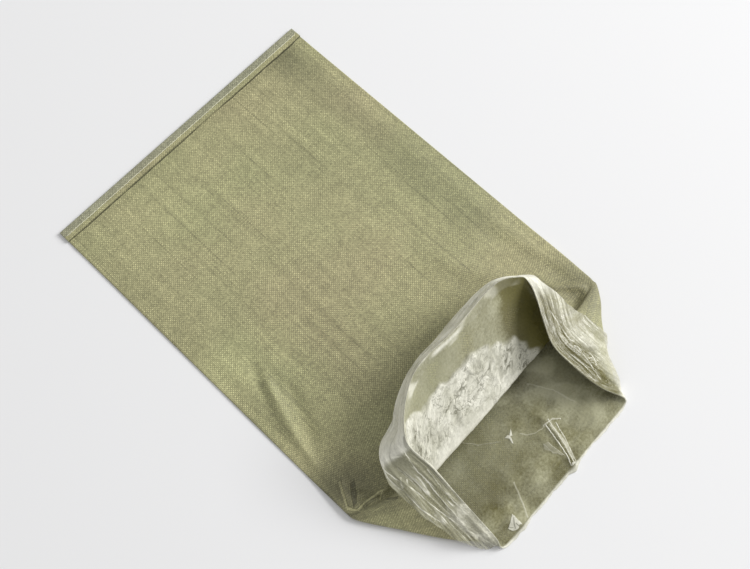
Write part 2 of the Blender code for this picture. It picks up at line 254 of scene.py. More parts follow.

# Painted light and shade on the film of the mouth's floor, at lighter and darker places: (y, x, reach,
# change)
FLOOR_PAINTED_LIGHT_AND_SHADE = (
    (0.075, 0.720, 0.035, 0.6),
    (0.100, 0.750, 0.030, 0.6),
    (0.118, 0.700, 0.030, 0.6),
    (0.090, 0.675, 0.035, 0.6),
    (-0.040, 0.770, 0.030, 0.3),
    (-0.108, 0.750, 0.025, -0.35),
    (-0.065, 0.735, 0.020, -0.3),
    (0.035, 0.715, 0.020, -0.3),
    (0.000, 0.670, 0.030, 0.3),
    (-0.110, 0.675, 0.030, 0.4),
)

# Creases of the film on the mouth's floor: (points, half width on the left, on the right, height)
FILM_CREASES = (
    (((0.722, 0.036), (0.752, 0.030), (0.788, 0.017)), 0.006, 0.006, 0.0022),
    (((0.735, 0.014), (0.790, 0.016)), 0.005, 0.005, 0.0014),
    (((0.693, -0.008), (0.708, -0.020)), 0.005, 0.005, 0.0010),
    (((0.764, -0.095), (0.790, -0.100)), 0.008, 0.007, 0.0014),
    (((0.735, -0.060), (0.770, -0.075)), 0.009, 0.008, 0.0012),
    (((0.675, 0.060), (0.735, 0.085)), 0.012, 0.010, 0.0012),
)

# Fold lines there, partly whitened film and partly painted highlight: (places across and along the sack, half
# width, strength), and a dark one of painted shade
FILM_LINES = (
    (((0.060, 0.668), (0.078, 0.700), (0.086, 0.735)), 0.0009, 0.20),
    (((-0.060, 0.745), (-0.072, 0.770), (-0.082, 0.788)), 0.0010, 0.30),
)
FILM_SHADED_CREASE = ((((0.0335, 0.730), (0.0275, 0.757), (0.0215, 0.776)), 0.0008, 0.6),)

# Fold lines picked in the photograph: (pixels, half width, strength), and dark ones
# These fold lines are partly whitened film and partly painted highlight.
SEEN_FILM_LINES = (
    (((548, 419), (556, 431), (565, 445), (575, 465)), 0.0008, 0.7),
    (((545.6, 425), (557.8, 441.7), (566.7, 455), (571, 466)), 0.0007, 0.8),
    (((556, 422), (564, 436), (571, 450), (577, 464)), 0.0006, 0.5),
    (((560, 418), (552.5, 418.5), (549, 421), (543.5, 425)), 0.0009, 0.6),
    (((520, 432.8), (527.8, 434.4), (536.7, 431.7), (544.4, 426.1)), 0.0006, 0.35),
    (((547.8, 441.7), (552.2, 445.6), (563.9, 455)), 0.0005, 0.45),
    (((543.3, 443.9), (553.3, 452.6), (563.9, 455)), 0.0005, 0.4),
    (((500, 441), (480, 444), (455, 441)), 0.0007, 0.30),
)
# The dark ones are painted shade in the creases of a crumpled tab.
SEEN_FILM_SHADED_CREASES = (
    (((513.9, 517.5), (514.4, 523.3), (515.6, 527.6)), 0.0007, 0.9),
    (((516.5, 523.3), (519.6, 526)), 0.0007, 0.9),
    (((509.4, 526), (513.5, 527.2)), 0.0006, 0.8),
)

# Small crumpled tabs and painted glints picked there: (pixels of the corners, strength)
SEEN_FILM_TABS_AND_GLINTS = (
    (((512.2, 513.3), (515, 515.8), (522.2, 523.3), (516, 526), (510.6, 521.7)), 0.95),
    (((510.6, 521.7), (517, 523), (519.8, 526), (516.7, 530), (513.3, 530.5), (508.7, 527.8)), 0.9),
    (((510.2, 427.6), (511.9, 435), (508.6, 436.5)), 0.85),
    (((504, 437), (507, 435), (511, 434.5), (509, 438.2)), 0.7),
    (((507.8, 436), (510.8, 436.6), (513.2, 443.6), (511.6, 443.2)), 1.0),
    (((543.3, 443.9), (547.8, 441.7), (552.2, 445.6), (563.9, 455), (553.3, 452.6), (544.4, 448.3)), 0.22),
    (((548.9, 424), (552.2, 424), (562.2, 437.2), (559.5, 438.3)), 0.30),
    (((559.5, 438.3), (562.2, 437.2), (567.8, 443.9), (575.6, 459.4), (572, 459)), 0.36),
    (((571.5, 463), (575, 461.5), (578, 463.5), (574, 466), (572, 468)), 0.9),
)

# Fold lines on the turned-out film, drawn whitened, partly as painted highlight: (girth and flat length of
# their points, half width, strength), and dark ones of painted shade
# Several points were looked up on the mesh for pixels of the photograph.
CUFF_LINES = (
    (
        ((0.650, 0.797), (0.667, 0.802), (0.700, 0.811), (0.739, 0.812), (0.813, 0.813), (0.859, 0.800)),
        0.0008,
        1.0,
    ),
    (((0.672, 0.842), (0.713, 0.832), (0.758, 0.826), (0.813, 0.814)), 0.0007, 0.9),
    (((0.669, 0.8235), (0.673, 0.8107)), 0.0009, 0.9),
    (((0.690, 0.833), (0.700, 0.841)), 0.0011, 1.0),
    (((0.697, 0.829), (0.706, 0.838)), 0.0009, 0.9),
    (((0.705, 0.800), (0.745, 0.803), (0.845, 0.797)), 0.0007, 0.8),
    (((0.680, 0.826), (0.770, 0.818), (0.830, 0.805)), 0.0006, 0.7),
    (((0.665, 0.836), (0.680, 0.8455), (0.740, 0.842), (0.790, 0.830)), 0.0008, 0.8),
    (((0.330, 0.808), (0.300, 0.818), (0.262, 0.822), (0.190, 0.804)), 0.0008, 0.8),
    (((0.318, 0.816), (0.285, 0.829), (0.250, 0.832), (0.210, 0.818)), 0.0007, 0.7),
    (((0.300, 0.797), (0.240, 0.800), (0.200, 0.796)), 0.0005, 0.5),
    (((0.262, 0.818), (0.235, 0.826), (0.215, 0.822)), 0.0007, 0.8),
)
CUFF_SHADED_FOLDS = (
    (((0.655, 0.7955), (0.685, 0.7975), (0.745, 0.796)), 0.0022, 0.8),
    (((0.645, 0.810), (0.668, 0.826), (0.690, 0.826)), 0.0008, 0.6),
    (((0.770, 0.807), (0.815, 0.804), (0.835, 0.799)), 0.0010, 0.7),
    (((0.325, 0.799), (0.285, 0.806)), 0.0042, 0.55),
    (((0.272, 0.807), (0.232, 0.807)), 0.0036, 0.55),
    (((0.220, 0.803), (0.190, 0.799)), 0.0020, 0.5),
)


def smooth(t):
    """0 below 0, 1 above 1, and an even S between."""
    t = np.clip(t, 0.0, 1.0)
    return t * t * (3 - 2 * t)


def camera_axes():
    """The picture's right and up, and the way that the camera looks."""
    level = Vector((math.cos(CAMERA_HEADING), math.sin(CAMERA_HEADING), 0))
    right = Vector((math.sin(CAMERA_HEADING), -math.cos(CAMERA_HEADING), 0))
    up_axis = Vector((0, 0, 1))
    ahead = math.cos(CAMERA_DOWN) * level - math.sin(CAMERA_DOWN) * up_axis
    up = math.sin(CAMERA_DOWN) * level + math.cos(CAMERA_DOWN) * up_axis
    turned_right = math.cos(CAMERA_ROLL) * right + math.sin(CAMERA_ROLL) * up
    turned_up = -math.sin(CAMERA_ROLL) * right + math.cos(CAMERA_ROLL) * up
    return turned_right, turned_up, ahead


def place_at(pixel, height, digits):
    """The place along and across the sack that the camera sees at a pixel, at a height above the floor."""
    right, up, ahead = camera_axes()
    aside, above = pixel[0] - PICTURE_WIDTH / 2, PICTURE_HEIGHT / 2 - pixel[1]
    ray = ahead * (LENS / SENSOR_WIDTH * PICTURE_WIDTH) + right * aside + up * above
    place = CAMERA_PLACE + ray * ((height - CAMERA_PLACE.z) / ray.z)
    return round(place.x - CENTRE_X, digits), round(place.y, digits)


def on_mouth_floor(rows):
    """Rows of a table with their pixels turned into places across and along the sack on the mouth's floor."""
    return tuple(
        (tuple(place_at(pixel, FILM_HEIGHT, 4)[::-1] for pixel in pixels), *values)
        for pixels, *values in rows
    )


def noise(girth, along, across_size, along_size, seed):
    """Smooth noise from about -1 to 1 that closes round the tube, with bumps of the two sizes given."""
    count = max(3, round(GIRTH / across_size))
    angles = np.random.default_rng(seed).uniform(0, 2 * np.pi, (count, 512))
    u = np.mod(girth, GIRTH) / GIRTH * count
    v = along / along_size + 100
    u, v = np.broadcast_arrays(u, v)
    low_u, low_v = np.floor(u).astype(int), np.floor(v).astype(int)
    part_u, part_v = u - low_u, v - low_v
    total = np.zeros(u.shape)
    for du in (0, 1):
        for dv in (0, 1):
            angle = angles[(low_u + du) % count, (low_v + dv) % 512]
            slope = np.cos(angle) * (part_u - du) + np.sin(angle) * (part_v - dv)
            weight_u = smooth(part_u) if du else 1 - smooth(part_u)
            weight_v = smooth(part_v) if dv else 1 - smooth(part_v)
            total += slope * weight_u * weight_v
    return total * 1.6


def ridges(girth, along, across_size, along_size, seed):
    """Sharp-edged folds from 0 to 1: creased lines where smooth noise passes through zero."""
    shift = 0.35 * noise(girth, along, across_size * 1.7, along_size * 1.7, seed + 50)
    waves = noise(girth + shift * across_size, along + shift * along_size, across_size, along_size, seed)
    return 1 - np.minimum(np.abs(waves) * 1.9, 1)


def bump_at(value, centre, reach):
    return np.exp(-(((value - centre) / reach) ** 2))


def on_loop(loop, girths):
    """The points of a closed loop of knots at these girths, on a smooth curve through them."""
    knots = np.array(loop, float)
    place = np.concatenate([knots[-2:, 0] - GIRTH, knots[:, 0], knots[:2, 0] + GIRTH])
    value = np.concatenate([knots[-2:, 1:], knots[:, 1:], knots[:2, 1:]])
    at = np.mod(girths, GIRTH)
    k = np.searchsorted(place, at, side="right") - 1
    g0, g1, g2, g3 = (place[k + i][:, None] for i in (-1, 0, 1, 2))
    p0, p1, p2, p3 = (value[k + i] for i in (-1, 0, 1, 2))
    m1 = (p2 - p0) / (g2 - g0) * (g2 - g1)
    m2 = (p3 - p1) / (g3 - g1) * (g2 - g1)
    t = (at[:, None] - g1) / (g2 - g1)
    return (
        (2 * t**3 - 3 * t**2 + 1) * p1
        + (t**3 - 2 * t**2 + t) * m1
        + (3 * t**2 - 2 * t**3) * p2
        + (t**3 - t**2) * m2
    )


def underside(x):
    over_thread = HEM_BOTTOM * (1 - smooth((x - HEM_WIDTH) / 0.03))
    over_film = 0.0009 * smooth((x - (LENGTH - TURNED_UNDER - 0.02)) / 0.012)
    return over_thread + over_film


def thickness(x, y):
    """Outer thickness of the lying sack, thin at the sewn end and along the two side edges."""
    hem = HEM_LAYER + 2 * CLOTH_INSET
    edge = hem + (EDGE_THICKNESS - hem) * smooth((x - HEM_WIDTH) / 0.02)
    edge = edge + (MOUTH_EDGE_THICKNESS - EDGE_THICKNESS) * smooth((x - 0.50) / 0.10)
    across = np.clip(1 - (y / HALF_WIDTH) ** 2, 0, 1)
    puff = PUFF * across * smooth((x - HEM_WIDTH) / 0.08)
    throat = 0.008 * bump_at(x, 0.65, 0.07) * bump_at(y, 0.13, 0.07) * across
    lip = 0.014 * bump_at(x, 0.67, 0.12) * across
    from_edge = HALF_WIDTH - np.abs(y)
    flat_edge = 1 - 0.45 * (1 - smooth(from_edge / 0.035)) * (1 - smooth((x - 0.52) / 0.08))
    return (edge + puff + throat + lip) * flat_edge


def lying(girth, x):
    """The outer surface of the lying sack."""
    g = np.mod(girth + EDGE_ARC, GIRTH) - EDGE_ARC
    g = np.where(g > 3 * HALF_WIDTH + EDGE_ARC, g - GIRTH, g)
    g, x = np.broadcast_arrays(g, x)
    low = underside(x)
    radius = thickness(x, HALF_WIDTH) / 2
    flat = HALF_WIDTH - radius
    stretch = flat / (HALF_WIDTH - EDGE_ARC)
    side = np.where(g < 2 * HALF_WIDTH, 1.0, -1.0)
    centre = np.where(side > 0, HALF_WIDTH, 3 * HALF_WIDTH)
    turn = np.clip(side * (g - centre) / EDGE_ARC, -1, 1) * math.pi / 2
    lower = np.abs(g) <= HALF_WIDTH - EDGE_ARC
    upper = np.abs(g - 2 * HALF_WIDTH) <= HALF_WIDTH - EDGE_ARC
    y = side * (flat + radius * np.cos(turn))
    z = low + radius * (1 + np.sin(turn))
    y = np.where(lower, g * stretch, y)
    z = np.where(lower, low, z)
    y = np.where(upper, (2 * HALF_WIDTH - g) * stretch, y)
    z = np.where(upper, low + thickness(x, y), z)
    return np.stack([x, y, z], axis=-1)


def from_middle(girth):
    """Distance round the tube from the middle of the underside, on the nearer side."""
    return np.minimum(girth, GIRTH - girth)


def side_share(girth):
    """1 where a side flap turns up off the floor, 0 across the underside."""
    return smooth((from_middle(np.mod(girth, GIRTH)) - 0.122) / 0.028)


def bend(p, q, r, share):
    """A point on the bend from p to r round the corner q."""
    return (1 - share) ** 2 * p + 2 * share * (1 - share) * q + share**2 * r


def near_crease(x, y, points, left, right):
    """How near a place on the floor plan is to a crease line, from 0 to 1."""
    best = np.zeros(x.shape)
    for (x0, y0), (x1, y1) in zip(points, points[1:]):
        run = math.hypot(x1 - x0, y1 - y0)
        along = ((x - x0) * (x1 - x0) + (y - y0) * (y1 - y0)) / run
        aside = ((x1 - x0) * (y - y0) - (y1 - y0) * (x - x0)) / run
        beyond = np.maximum(np.maximum(-along, along - run), 0)
        width = np.where(aside > 0, left, right)
        best = np.maximum(best, np.exp(-((aside / width) ** 2) - (beyond / (left + right)) ** 2))
    return best


def cloth_relief(girth, points):
    """How far the lying cloth of the upper side stands above its even shape."""
    x, y, z = points[..., 0], points[..., 1], points[..., 2]
    upper = smooth((HALF_WIDTH - 0.012 - np.abs(np.mod(girth, GIRTH) - 2 * HALF_WIDTH)) / 0.02)
    after_hem = smooth((x - HEM_WIDTH - 0.004) / 0.05)
    height = 0.0007 * noise(girth, x, 0.16, 0.22, 1) + 0.0005 * noise(girth, x, 0.05, 0.11, 2)
    height = height + 0.00022 * noise(girth, x, 0.016, 0.035, 3)
    for pixels, left, right, tall in SEEN_CREASES:
        line = [place_at(pixel, CLOTH_HEIGHT, 3) for pixel in pixels]
        height = height + tall * near_crease(x, y, line, left, right)
    for line, left, right, tall in CREASES:
        height = height + tall * near_crease(x, y, line, left, right)
    return height * upper * after_hem


def outer_surface(girths, body_x, corner_rows, wall_rows):
    """Rows of the cloth's outer surface. body_x has shares of the way from just past the hem to the bend."""
    fold_xy = on_loop(FOLD_LOOP, girths)
    rim = on_loop(RIM_LOOP, girths)
    start = HEM_WIDTH + 0.001
    flat_end = fold_xy[:, 0] - BEND
    fold = lying(girths, fold_xy[:, 0])
    near = lying(girths, flat_end)
    fold[:, 1] = fold_xy[:, 1]
    near[:, 1] += (fold_xy[:, 1] - near[:, 1]) * 0.5
    x = start + (flat_end - start)[None] * body_x[:, None]
    body = lying(girths[None], x)
    pull = smooth((x - (fold_xy[None, :, 0] - 0.10)) / 0.10)
    body[..., 1] += (near[None, :, 1] - body[..., 1]) * pull
    body[..., 2] += cloth_relief(girths[None], body)
    raised = fold.copy()
    raised[:, 2] = np.maximum(fold[:, 2], FOLD_HEIGHT * side_share(girths))
    length = np.linalg.norm(rim - raised, axis=1)[:, None]
    on_wall = raised + (rim - raised) * np.minimum(BEND / length, 0.4)
    middle = (fold + raised) / 2
    shares = np.linspace(0, 1, corner_rows + 1)[1:, None, None]
    first = bend(body[-1][None], fold[None], middle[None], np.clip(shares * 2, 0, 1))
    second = bend(middle[None], raised[None], on_wall[None], np.clip(shares * 2 - 1, 0, 1))
    folded_twice = np.where(shares < 0.5, first, second)
    folded_once = bend(body[-1][None], raised[None], on_wall[None], shares)
    twice = smooth((raised[:, 2] - fold[:, 2]) / 0.004)[None, :, None]
    corner = folded_once + (folded_twice - folded_once) * twice
    up = np.linspace(0, 1, wall_rows + 1)[1:, None, None]
    wall = corner[-1][None] + (rim - corner[-1])[None] * up
    around = np.roll(rim, -1, axis=0) - np.roll(rim, 1, axis=0)
    outward = np.cross(around, rim - corner[-1])
    outward /= np.linalg.norm(outward, axis=1, keepdims=True)
    hollow = 0.016 * bump_at(np.mod(girths, GIRTH), 0.36, 0.04)
    wall += outward[None] * hollow[None, :, None] * 16 * (up * (1 - up)) ** 2
    return np.concatenate([body, corner, wall]), len(body_x), corner_rows


def surface_normals(grid):
    """Outward unit normals of a grid whose rows run along the sack and whose columns run round it."""
    along = np.gradient(grid, axis=0)
    around = np.roll(grid, -1, axis=1) - np.roll(grid, 1, axis=1)
    normal = np.cross(around, along)
    return normal / np.maximum(np.linalg.norm(normal, axis=2, keepdims=True), 1e-12)


def row_lengths(grid):
    """Distance along each column from its first row."""
    steps = np.linalg.norm(np.diff(grid, axis=0), axis=2)
    return np.concatenate([np.zeros((1, grid.shape[1])), np.cumsum(steps, axis=0)])


def flat_lengths(grid, rim_row, rim_length):
    """Flat length along each column, evened out so that the rim is at one length all round."""
    along = row_lengths(grid)
    at_rim = along[rim_row]
    even = smooth((along - 0.40) / (at_rim - 0.40))
    return along + (rim_length - at_rim) * even


def add_thing(name, data):
    thing = bpy.data.objects.new(name, data)
    bpy.context.scene.collection.objects.link(thing)
    return thing


def tube_object(name, grid, girths, along, material):
    """A tube's sheet through a grid of points, with a UV map in metres: girth across and distance along."""
    rows, count = grid.shape[:2]
    i, j = np.meshgrid(np.arange(rows - 1), np.arange(count), indexing="ij")
    k = (j + 1) % count
    corners = np.stack([i * count + j, (i + 1) * count + j, (i + 1) * count + k, i * count + k], axis=-1)
    mesh = bpy.data.meshes.new(name)
    points = grid.reshape(-1, 3) + [CENTRE_X, 0, 0]
    mesh.from_pydata(points.tolist(), [], corners.reshape(-1, 4).tolist())
    next_girth = np.where(k == 0, girths[0] + GIRTH, girths[k])
    u = np.stack([girths[j], girths[j], next_girth, next_girth], axis=-1)
    v = np.stack([along[i, j], along[i + 1, j], along[i + 1, k], along[i, k]], axis=-1)
    layer = mesh.uv_layers.new(name="flat_metres")
    layer.data.foreach_set("uv", np.stack([u, v], axis=-1).astype(np.float32).ravel())
    mesh.polygons.foreach_set("use_smooth", np.ones(len(mesh.polygons), bool))
    mesh.materials.append(material)
    mesh.update()
    return add_thing(name, mesh)


def put_values(thing, name, values):
    """Stores one number for each point of a piece, for its material."""
    layer = thing.data.attributes.new(name, "FLOAT", "POINT")
    layer.data.foreach_set("value", np.asarray(values, np.float32).ravel())


def spread_columns(count, density):
    """Girths of the columns, closer together where density is higher."""
    fine = np.linspace(0, GIRTH, 4001)
    weight = np.concatenate([[0], np.cumsum(density((fine[1:] + fine[:-1]) / 2))])
    return np.interp(np.linspace(0, weight[-1], count + 1)[:-1], weight, fine)


def hem_rows(girths):
    """The sewn end: the tube comes back over itself, so the underside's cloth is the outermost layer."""
    first = lying(girths, HEM_WIDTH + 0.001)
    share = (first[:, 2] - HEM_BOTTOM) / (HEM_LAYER + 2 * CLOTH_INSET)
    low = HEM_BOTTOM + CLOTH_INSET + HEM_LAYER * share
    axis_z = HEM_BOTTOM + CLOTH_INSET + HEM_LAYER + HEM_GAP / 2
    radius = axis_z - low
    centre_x = HEM_LAYER + HEM_GAP / 2 + 0.0002
    wave = 0.0014 * noise(girths, 0.0, 0.08, 1.0, 11) + 0.0005 * noise(girths, 0.0, 0.015, 1.0, 12)
    rows = []
    for x in np.linspace(HEM_WIDTH, centre_x, 9):
        groove = 0.00025 * bump_at(x, THREAD_X, 0.0014)
        height = axis_z + radius - groove * share
        rows.append(np.stack([x + wave * x / HEM_WIDTH, first[:, 1], height], axis=-1))
    for turn in np.linspace(0, math.pi, 8)[1:]:
        x = centre_x - radius * math.sin(turn)
        rows.append(np.stack([x, first[:, 1], axis_z + radius * math.cos(turn)], axis=-1))
    for x in np.linspace(centre_x, HEM_WIDTH, 6)[1:]:
        rows.append(np.stack([np.full(len(girths), x), first[:, 1], low], axis=-1))
    return np.array(rows)


def make_cloth(material):
    girths = spread_columns(400, lambda g: np.ones(len(g)))
    body_x = np.concatenate([np.linspace(0, 0.74, 104), np.linspace(0.74, 1, 62)[1:]])
    outer, _, _ = outer_surface(girths, body_x, 10, 34)
    cloth = outer - surface_normals(outer) * CLOTH_INSET
    cloth = np.concatenate([hem_rows(girths), cloth])
    thing = tube_object("sack_cloth", cloth, girths, flat_lengths(cloth, -1, CLOTH_FLAT_LENGTH), material)
    # Painted shade on the cloth of the mouth's floor, stronger towards -y and weaker towards +y, where the
    # right flap casts its own shadow
    inside = smooth((cloth[..., 0] - 0.60) / 0.04) * smooth((0.16 - from_middle(girths)) / 0.03)
    y = cloth[..., 1]
    inside *= 1 + 0.35 * smooth((-0.01 - y) / 0.07) - 0.45 * smooth((y - 0.05) / 0.06)
    put_values(thing, "inside", inside)
    x = cloth[..., 0]
    upper = smooth((from_middle(girths) - 0.225) / 0.02)
    # Painted light and shade on the lying cloth's upper side: painted shade along a strip near the +y edge,
    # and at the listed places
    tone = 1 - 0.20 * bump_at(y, 0.205, 0.03) * smooth((0.5 - x) / 0.05)
    for spot_y, spot_x, reach, change in CLOTH_PAINTED_LIGHT_AND_SHADE:
        tone += change * bump_at(np.hypot(y - spot_y, x - spot_x), 0, reach)
    tone = 1 + (tone - 1) * upper
    # Painted shade on the cloth of the +y side flap near the mouth
    tone *= 1 - 0.14 * bump_at(girths, 0.235, 0.035)[None] * smooth((x - 0.58) / 0.05)
    put_values(thing, "tone", tone)
    return thing


def make_film(materials):
    girths = spread_columns(400, lambda g: 1 + 0.9 * np.exp(-(((g - 0.5) / 0.19) ** 4)))
    body_x = np.concatenate([np.linspace(0.045, 0.72, 12), np.linspace(0.72, 1, 98)[1:]])
    outer, body_count, corner_rows = outer_surface(girths, body_x, 12, 66)
    normals = surface_normals(outer)
    rows = len(outer)
    row = np.arange(rows)[:, None]
    wall_start = body_count + corner_rows
    up_wall = np.clip((row - wall_start + 1) / (rows - wall_start), 0, 1) * np.ones(len(girths))
    on_wall = (row >= wall_start - corner_rows // 2) * np.ones(len(girths))
    along = row_lengths(outer)
    g = np.mod(girths, GIRTH)[None] * np.ones((rows, 1))
    x, y = outer[..., 0], outer[..., 1]

    # Crumpled film on the lower part of the back wall, and gentler folds elsewhere
    crumpled_to = np.interp(g, *np.array(CRUMPLED).T)
    ragged = 0.09 * noise(g, along, 0.05, 0.03, 21) + 0.05 * noise(g, along, 0.016, 0.012, 20)
    patch = smooth(crumpled_to / 0.1) * on_wall * smooth((crumpled_to + ragged - up_wall) / 0.10)
    lower = smooth((0.16 - from_middle(g)) / 0.03)
    panel = lower * smooth((x - 0.60) / 0.04)
    fine = ridges(g + along * 0.5, along, 0.011, 0.016, 22)
    finer = ridges(g, along, 0.005, 0.007, 24)
    broad = ridges(g - along * 0.3, along, 0.030, 0.022, 26)
    soft = ridges(g, along, 0.045, 0.06, 28)
    height = patch * (0.0013 * broad + 0.0006 * fine + 0.0002 * finer)
    height += (1 - patch) * on_wall * 0.0006 * soft
    roll = bump_at(row, wall_start - 1, 7) * smooth((g - 0.44) / 0.10) * smooth((0.71 - g) / 0.03)
    height = height * (1 - 0.8 * roll) + 0.0045 * roll
    height += panel * (0.0011 * soft * smooth(noise(g, along, 0.09, 0.07, 29) * 2 + 0.4) + 0.00025 * fine)
    for line, left, right, tall in FILM_CREASES:
        height += panel * tall * near_crease(x, y, line, left, right)
    near_mouth = smooth((x - 0.50) / 0.05)
    inside = outer - normals * (CLOTH_INSET + FILM_ROOM + height * near_mouth)[..., None]

    rim, rim_normal = outer[-1], normals[-1]
    ahead = outer[-1] - outer[-2]
    ahead /= np.linalg.norm(ahead, axis=1, keepdims=True)
    middle = rim - rim_normal * CLOTH_INSET
    front = smooth((0.15 - from_middle(g[0])) / 0.03)
    tufts = 0.5 + 0.3 * noise(g[0], 0.0, 0.035, 1.0, 31) + 0.3 * noise(g[0], 0.0, 0.009, 1.0, 32)
    tufts += 1.0 * bump_at(g[0], 0.012, 0.008) + 0.6 * bump_at(g[0], 0.905, 0.010)
    loose = 0.0012 + 0.0055 * front * np.clip(tufts, 0.1, 2.0)
    rise = FILM_ROOM + height[-1]
    rows_over = []
    for turn in np.radians([30, 60, 90, 120, 150, 180]):
        reach = loose[:, None] * math.sin(turn)
        aside = np.where(turn < math.pi / 2, rise, FILM_ROOM)[:, None] * math.cos(turn)
        rows_over.append((middle + ahead * reach - rim_normal * aside)[None])

    # The cuff, down the outside of the walls and under the front edge
    turn_out = on_loop(CUFF_LOOP, girths)
    ragged_edge = 0.003 * noise(g[0], 0.0, 0.05, 1.0, 33) + 0.0012 * noise(g[0], 0.0, 0.012, 1.0, 34)
    width = np.maximum(turn_out[:, :1] + ragged_edge[:, None] * (1 - front[:, None]), 0.008)
    angle = np.radians(turn_out[:, 1:])
    edge, even_edge = (
        np.roll(rim, -span, axis=0) - np.roll(rim, span, axis=0) for span in (CUFF_SPAN, 3 * CUFF_SPAN)
    )
    edge /= np.linalg.norm(edge, axis=1, keepdims=True)
    even_edge /= np.linalg.norm(even_edge, axis=1, keepdims=True)
    edge += (even_edge - edge) * bump_at(g[0], 0.28, 0.05)[:, None]
    edge /= np.linalg.norm(edge, axis=1, keepdims=True)
    down = -ahead + (ahead * edge).sum(axis=1, keepdims=True) * edge
    down /= np.linalg.norm(down, axis=1, keepdims=True)
    away = rim_normal * np.sin(angle) + down * np.cos(angle)
    cuff_normal = rim_normal * np.cos(angle) - down * np.sin(angle)
    outside = outer + normals * FILM_ROOM * 0.7
    back_length = along[-1] - along
    cuff_rows = []
    cuff_height = []
    cuff_parts = np.linspace(0, 1, CUFF_ROWS + 1)[1:]
    for part in cuff_parts:
        down = width[:, 0] * part
        folds = ridges(g[0], down + 0.3, 0.22, 0.016, 35) * 0.0016
        folds = folds + ridges(g[0], down, 0.09, 0.010, 37) * 0.0005
        lift = folds * smooth(part / 0.25) * (1 - front)
        on_side = middle + rim_normal * FILM_ROOM + away * down[:, None] + cuff_normal * lift[:, None]
        under = np.stack([
            [np.interp(down[j], back_length[::-1, j], outside[::-1, j, axis]) for axis in range(3)]
            for j in range(len(girths))
        ])
        share = smooth((0.145 - from_middle(g[0])) / 0.02)[:, None]
        cuff_rows.append((on_side * (1 - share) + under * share)[None])
        cuff_height.append((folds / 0.0021)[None])
    film = np.concatenate([inside] + rows_over + cuff_rows)
    film[..., 2] = np.maximum(film[..., 2], 0.0003)
    over_count = len(rows_over)
    lengths = flat_lengths(film, rows - 1, LENGTH - FILM_START) + FILM_START
    thing = tube_object("liner_film", film, girths, lengths, materials[0])
    for extra in materials[1:]:
        thing.data.materials.append(extra)
    beyond_rim = np.arange(len(film) - 1)[:, None] >= rows - 1
    mouth_floor = (film[:-1, :, 0] > 0.62) & (from_middle(g[:1]) < 0.13)
    material_index = np.where(beyond_rim, 1, np.where(mouth_floor, 2, 0))
    thing.data.polygons.foreach_set("material_index", material_index.astype(np.int32).ravel())

    part = cuff_parts[:, None]
    right_cuff = smooth((0.365 - g[:1]) / 0.02) * smooth((g[:1] - 0.14) / 0.02)
    left_cuff = smooth((g[:1] - 0.63) / 0.03) * smooth((0.87 - g[:1]) / 0.02)
    back = 1 - np.clip(right_cuff + left_cuff + front[None], 0, 1)
    outer_part = smooth((part - 0.18) / 0.35)
    left_tip = left_cuff * smooth((g[:1] - 0.762) / 0.02) * (1 - smooth((part - 0.50) / 0.2))
    soft_folds = smooth(0.5 + 1.2 * noise(g, along, 0.045, 0.035, 45))
    crumple_in = patch * (1 - 0.9 * roll) + 0.34 * soft_folds * on_wall * (1 - lower) * (1 - patch)
    crumple_in = np.clip(crumple_in, 0, 1)
    middle_part = bump_at(part, 0.45, 0.20)
    top_corner = bump_at(g[:1], 0.425, 0.05)
    back_left = smooth((0.677 - g[:1]) / 0.009) * smooth((g[:1] - 0.40) / 0.04)
    crumple_cuff = 0.10 + 0.32 * back + right_cuff * (0.30 + 0.40 * middle_part)
    crumple_cuff = crumple_cuff + 1.2 * left_tip + 0.25 * left_cuff + 0.7 * top_corner
    crumple_over = np.repeat(crumple_cuff[:1], over_count, axis=0)
    crumple = np.clip(np.concatenate([crumple_in, crumple_over, crumple_cuff]), 0, 1)
    cloudy = smooth(noise(g, along, 0.08, 0.06, 39) * 1.5 + 0.5)
    mottled = noise(g, along, 0.035, 0.03, 40)
    upper_wall = on_wall * (1 - lower) * (1 - patch)
    band_from = up_wall + 0.03 * noise(g, along, 0.05, 0.5, 43)
    rim_band = smooth((band_from - 0.88) / 0.03) * smooth((g - 0.385) / 0.03)
    rim_band = rim_band * smooth((0.66 - g) / 0.03) * on_wall
    bits = rim_band * smooth(1.6 * noise(g, along, 0.026, 0.011, 46) + 0.1)
    # A pale, more opaque streak just inside the rim of the back wall: painted highlight along the film's fold
    # at the rim
    streak = bump_at(band_from, 0.955, 0.03) * smooth((g - 0.475) / 0.03)
    streak = streak * smooth((0.555 - g) / 0.02) * on_wall
    # A dark, more opaque film in the far corner of the back wall: painted shade
    far_corner_shade = on_wall * bump_at(g, 0.380, 0.050)
    woven_shows = smooth((0.02 - y) / 0.05) * smooth((0.755 - x) / 0.03)
    veil = panel * (0.52 + 0.34 * smooth(0.5 + 2.4 * mottled)) * (1 - 0.55 * woven_shows)
    cover_in = 0.07 + 0.80 * patch + upper_wall * (0.46 + 0.08 * cloudy + 0.22 * mottled)
    # Painted highlight along the rim and painted shade in the far corner raise the film's cover here
    cover_in += 0.05 * rim_band + 0.22 * bits + 0.45 * streak + 0.38 * far_corner_shade
    cover_in += veil + 0.30 * roll * (1 - patch)
    # A darker, more opaque band along the inside of the right cuff: painted shade standing in for the shaded
    # mouth behind the film
    inner_band_shade = right_cuff * (1 - smooth((part - 0.30) / 0.25)) * smooth((0.345 - g[:1]) / 0.015)
    # The back of the cuff is paler and more opaque, partly its own pale film and partly painted light, as it
    # faces away from the key lamp
    cover_cuff = 0.30 + 0.62 * back + right_cuff * 0.42 * outer_part + 0.40 * inner_band_shade + 0.30 * left_tip
